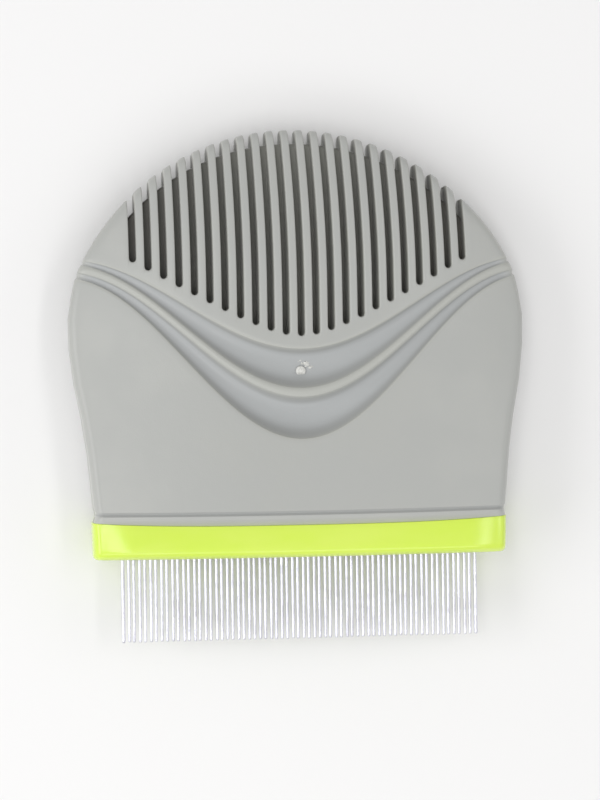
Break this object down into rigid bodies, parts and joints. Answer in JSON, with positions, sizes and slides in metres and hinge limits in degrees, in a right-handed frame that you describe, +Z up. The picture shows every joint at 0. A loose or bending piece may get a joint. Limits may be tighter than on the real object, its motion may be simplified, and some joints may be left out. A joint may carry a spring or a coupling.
{
  "type": "flea comb",
  "caption": "Hand-held flea comb: a flat half-round soft grip with finger fins and grooves, a gloss bar and a close row of fine steel pins.",
  "frame": {"origin": "centre of the bounding box in X and Y, on the plane that the comb's flat back rests on", "axes": "+X across the comb, +Y along it from the pin tips towards the finned rim, +Z up through its thickness towards the front face"},
  "size_m": [0.071, 0.079, 0.0124],
  "materials": {
    "grip": "soft-touch matte grey moulding",
    "bar": "glossy lime green moulding",
    "core": "plain dark grey moulding, hidden in use",
    "pins": "polished steel wire"
  },
  "bodies": {
    "root": {"grip": "grip", "comb_bar": "bar", "handle_core": "core", "hairpin_01": "pins", "hairpin_02": "pins", "hairpin_03": "pins", "hairpin_04": "pins", "hairpin_05": "pins", "hairpin_06": "pins", "hairpin_07": "pins", "hairpin_08": "pins", "hairpin_09": "pins", "hairpin_10": "pins", "hairpin_11": "pins", "hairpin_12": "pins", "hairpin_13": "pins", "hairpin_14": "pins", "hairpin_15": "pins", "hairpin_16": "pins", "hairpin_17": "pins", "hairpin_18": "pins", "hairpin_19": "pins", "hairpin_20": "pins", "hairpin_21": "pins", "hairpin_22": "pins", "hairpin_23": "pins", "hairpin_24": "pins", "hairpin_25": "pins", "hairpin_26": "pins", "hairpin_27": "pins", "hairpin_28": "pins", "hairpin_29": "pins", "hairpin_30": "pins", "hairpin_31": "pins", "hairpin_32": "pins", "hairpin_33": "pins"}
  },
  "joints": []
}
